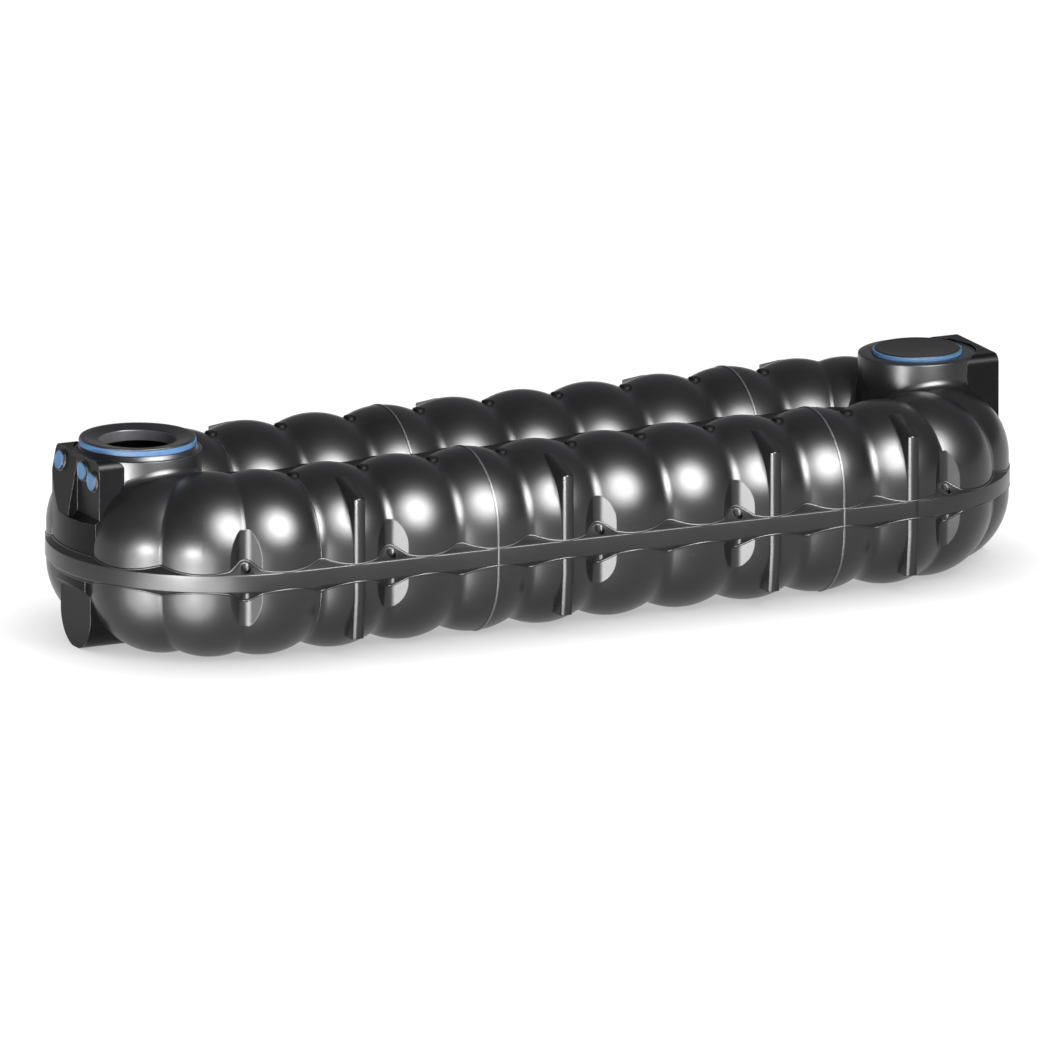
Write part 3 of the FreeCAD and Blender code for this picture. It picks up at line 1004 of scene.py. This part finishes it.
@dataclass
class Manhole:
    """The open left neck: wall, stepped collar with a funnel mouth, and its sealing ring."""

    bench: Bench
    centre: Spot = (-NECK_X, 0.0)
    wall: Outline = ((0.420, NECK_FOOT), (MANHOLE_R, NECK_FOOT), (MANHOLE_R, 1.316), (0.429, 1.3190),
                     (0.426, 1.320), (0.406, 1.320), (0.404, 1.323), (0.390, 1.347), (0.3845, 1.3495),
                     (0.3845, 1.3895), (0.3875, 1.3905), (0.3880, 1.3955), (0.3845, 1.3995), (0.379, 1.400),
                     (0.356, 1.400), (0.350, 1.3985), (0.272, 1.384), (0.264, 1.3815), (0.259, 1.376),
                     (0.258, 1.368), (0.258, 1.308), (0.260, 1.3055), (0.268, 1.3055), (0.268, 1.374),
                     (0.374, 1.374), (0.374, 1.305), (0.420, 1.305), (0.420, NECK_FOOT))
    seal: Outline = ((0.3845, 1.3505), (0.3900, 1.3510), (0.3927, 1.3545), (0.3932, 1.3600),
                     (0.3924, 1.3640), (0.3932, 1.3690), (0.3932, 1.3830), (0.3920, 1.3870),
                     (0.3890, 1.3890), (0.3845, 1.3890), (0.3845, 1.3505))

    def build(self) -> None:
        """Turn the neck and its ring."""
        neck, seal = Bench.lathe(self.wall, self.centre), Bench.lathe(self.seal, self.centre)
        self.bench.deliver(neck, "manhole_neck", Slot.TANK, "left_neck")
        self.bench.deliver(seal, "manhole_seal", Slot.SEAL, "left_neck_gasket")


@dataclass
class LiddedNeck:
    """The right neck with its lid and sealing ring."""

    bench: Bench
    centre: Spot = (NECK_X, 0.0)
    wall: Outline = ((0.390, NECK_FOOT), (LIDDED_R, NECK_FOOT), (LIDDED_R, 1.370), (0.3975, 1.3775),
                     (0.391, 1.381), (0.312, 1.381), (0.306, 1.3795), (0.3025, 1.376), (0.270, 1.376),
                     (0.270, 1.361), (0.390, 1.361), (0.390, NECK_FOOT))
    lid: Outline = ((0.0, 1.4100), (0.250, 1.4100), (0.256, 1.4105), (0.261, 1.4120), (0.281, 1.4120),
                    (0.288, 1.4105), (0.2915, 1.4065), (0.292, 1.401), (0.292, 1.377), (0.0, 1.377))
    seal: Outline = ((0.2920, 1.3770), (0.2990, 1.3770), (0.3015, 1.3800), (0.3020, 1.3860),
                     (0.3012, 1.3895), (0.3020, 1.3930), (0.3015, 1.4015), (0.2990, 1.4050),
                     (0.2920, 1.4055), (0.2920, 1.3770))

    def build(self) -> None:
        """Turn the neck, the lid and its ring."""
        outlines = (self.wall, self.lid, self.seal)
        neck, lid, seal = (Bench.lathe(outline, self.centre) for outline in outlines)
        self.bench.deliver(neck, "lidded_neck", Slot.TANK, "right_neck")
        self.bench.deliver(lid, "neck_lid", Slot.LID, "right_lid")
        self.bench.deliver(seal, "lid_seal", Slot.SEAL, "right_lid_gasket")


@dataclass
class PipePorts:
    """Three pipe sockets with blue plugs on the left inlet block, one of them on its sloping face."""

    bench: Bench
    face_run: float = 0.082
    face_rise: float = 0.427
    sloping: Point = (-3.3409, 0.236, 1.233)
    upright: tuple[Point, ...] = ((-3.330, -0.100, 1.230), (-3.330, -0.250, 1.189))
    sides: int = 64
    socket: Outline = ((0.0585, -0.002), (0.0585, 0.0185), (0.0600, 0.0200), (0.0660, 0.0200),
                       (0.0680, 0.0180), (0.0680, 0.0055), (0.0695, 0.0040), (0.0740, 0.0040),
                       (0.0750, 0.0030), (0.0750, -0.002), (0.0585, -0.002))
    plug: Outline = ((0.0, 0.0205), (0.043, 0.0205), (0.0465, 0.0215), (0.0485, 0.0240), (0.0550, 0.0240),
                     (0.0572, 0.0230), (0.0580, 0.0208), (0.0580, 0.0))

    def places(self) -> list[Matrix]:
        """Find the ports.

        Returns:
            One matrix each, which turns an upright port into its place.
        """
        spots = [(self.sloping, (-self.face_rise, 0.0, self.face_run))]
        spots += [(spot, (-1.0, 0.0, 0.0)) for spot in self.upright]
        return [Matrix.Translation(spot) @ Vector(way).to_track_quat("Z", "Y").to_matrix().to_4x4()
                for spot, way in spots]

    def build(self) -> None:
        """Model one socket and one plug and set copies in the block."""
        for outline, name, slot, node in ((self.socket, "sockets", Slot.TANK, "pipe_sockets"),
                                          (self.plug, "plugs", Slot.PLUG, "pipe_plugs")):
            first = Bench.lathe(outline, steps=self.sides)
            copies = [Bench.copy(first, place) for place in self.places()]
            self.bench.deliver(Bench.join(copies), name, slot, node)
            bpy.data.objects.remove(first)


@dataclass(frozen=True)
class Lamp:
    """A round soft light: its direction in the picture's axes, its width, and watts to the square metre.

    A sheen lamp shows in glossy surfaces alone and leaves the colours at their level.
    """

    name: str
    toward: Point
    size: float
    level: float
    sheen: bool = False


KEY_SIDE = (0.45, 0.43, 0.78)
FILL_SIDE = (-0.426, -0.440, 0.791)
LAMPS = (
    Lamp("key", KEY_SIDE, size=9.2, level=1.7),
    Lamp("key_box", KEY_SIDE, size=13.0, level=15.0, sheen=True),
    Lamp("key_scrim", KEY_SIDE, size=27.0, level=12.0, sheen=True),
    Lamp("fill", FILL_SIDE, size=7.3, level=2.0),
    Lamp("fill_box", FILL_SIDE, size=17.0, level=31.0, sheen=True),
)


@dataclass
class Studio:
    """Camera, pale floor and soft light."""

    azimuth: float = 25.38
    elevation: float = 13.80
    picture: int = 1050
    pixels_to_metre: float = 149.3
    aim_pixel: Spot = (528.96, 508.19)
    aim_point: Point = (0.0, 0.0, RIM_MID)
    lens: float = 1500.0
    sensor: float = 36.0
    lamps: tuple[Lamp, ...] = LAMPS
    lamp_distance: float = 26.0
    horizon: Range = (0.02, 0.08)
    ceiling: Colour = (0.24, 0.24, 0.25, 1.0)
    floor_size: float = 90.0
    floor_drop: float = 0.002
    floor_matt: float = 0.20
    floor_glow: float = 0.96
    floor_shade: float = 0.42
    shade_reach: float = 0.5

    def axes(self) -> tuple[Vector, Vector, Vector]:
        """Work out the picture's directions.

        Returns:
            Unit vectors to the right, up, and towards the camera.
        """
        a, e = math.radians(self.azimuth), math.radians(self.elevation)
        right = Vector((math.cos(a), -math.sin(a), 0.0))
        back = Vector((-math.sin(a) * math.cos(e), -math.cos(a) * math.cos(e), math.sin(e)))
        return right, back.cross(right), back

    def camera(self) -> None:
        """Set up the camera with a very long lens."""
        right, up, back = self.axes()
        across, down = ((self.picture / 2 - pixel) / self.pixels_to_metre for pixel in self.aim_pixel)
        centre = Vector(self.aim_point) + right * across - up * down
        away = self.picture / self.pixels_to_metre * self.lens / self.sensor
        turn = back.to_track_quat("Z", "Y").to_euler()
        bpy.ops.object.camera_add(location=centre + back * away, rotation=turn)
        camera = bpy.context.object
        camera.data.lens, camera.data.sensor_width = self.lens, self.sensor
        camera.data.clip_start, camera.data.clip_end = 1.0, away * 2
        bpy.context.scene.camera = camera

    def hang(self, lamp: Lamp) -> None:
        """Hang a lamp.

        Args:
            lamp: The lamp.
        """
        way = sum((axis * part for axis, part in zip(self.axes(), lamp.toward)), Vector()).normalized()
        bpy.ops.object.light_add(type="AREA", location=Vector(self.aim_point) + way * self.lamp_distance,
                                 rotation=way.to_track_quat("Z", "Y").to_euler())
        light = bpy.context.object
        light.name = lamp.name
        light.data.shape, light.data.size = "DISK", lamp.size
        light.data.energy = lamp.level * math.pi * self.lamp_distance ** 2
        light.visible_diffuse = not lamp.sheen

    def world(self) -> None:
        """Give the studio white walls near the horizon and a grey ceiling."""
        world = bpy.data.worlds.new("studio")
        bpy.context.scene.world = world
        world.use_nodes = True
        g = Graph(world.node_tree)
        height = g.axis(g.add("ShaderNodeTexCoord", output="Generated"), "Z")
        walls = g.seen() * (1.0 - height.ramp(*self.horizon))
        light = g.add("ShaderNodeBackground", None, {"Color": g.mix(walls, self.ceiling, grey(1.0))})
        g.add("ShaderNodeOutputWorld", None, {"Surface": light})

    def floor(self) -> None:
        """Lay a pale light table, which shows a light shadow and lets the low fill through from below."""
        Bench.clear()
        bpy.ops.mesh.primitive_plane_add(size=self.floor_size, location=(0, 0, -self.floor_drop))
        floor = bpy.context.object
        floor.name = "studio_floor"
        floor.visible_shadow = False
        material, g = new_material("pale_floor")
        clear = g.add("ShaderNodeAmbientOcclusion", {"samples": SHADE_SAMPLES},
                      {"Distance": self.shade_reach}, "AO")
        light = g.mix(clear, grey(self.floor_shade), grey(self.floor_glow))
        glow = g.add("ShaderNodeEmission", None, {"Color": light})
        matt = g.add("ShaderNodeBsdfDiffuse", None, {"Color": grey(self.floor_matt)})
        both = g.add("ShaderNodeAddShader", None, {0: glow, 1: matt})
        shown = g.add("ShaderNodeMixShader", None, {0: g.seen(), 1: matt, 2: both})
        g.add("ShaderNodeOutputMaterial", None, {"Surface": shown})
        floor.data.materials.append(material)

    def build(self) -> None:
        """Make camera, lamps, world and floor."""
        Bench.clear()
        self.camera()
        for lamp in self.lamps:
            self.hang(lamp)
        self.world()
        self.floor()
        bpy.context.scene.view_settings.view_transform = "Standard"
        log.info("studio ready")


def main() -> None:
    """Dress the tank, add its modelled pieces and light it."""
    logging.basicConfig(level=logging.INFO)
    for leftover in list(bpy.data.objects):
        bpy.data.objects.remove(leftover)
    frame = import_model()
    Bench.clear()
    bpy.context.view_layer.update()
    nodes = frame["nodes"]
    bench = Bench()
    MouldedBody(bench).dress(nodes)
    RimBand(bench).build()
    Ribs(bench).build()
    GroovePads(bench).build()
    Manhole(bench).build()
    LiddedNeck(bench).build()
    NeckFlare(bench, "left", -NECK_X, MANHOLE_R).build(nodes)
    NeckFlare(bench, "right", NECK_X, LIDDED_R).build(nodes)
    PipePorts(bench).build()
    Studio().build()


if __name__ == "__main__":
    main()
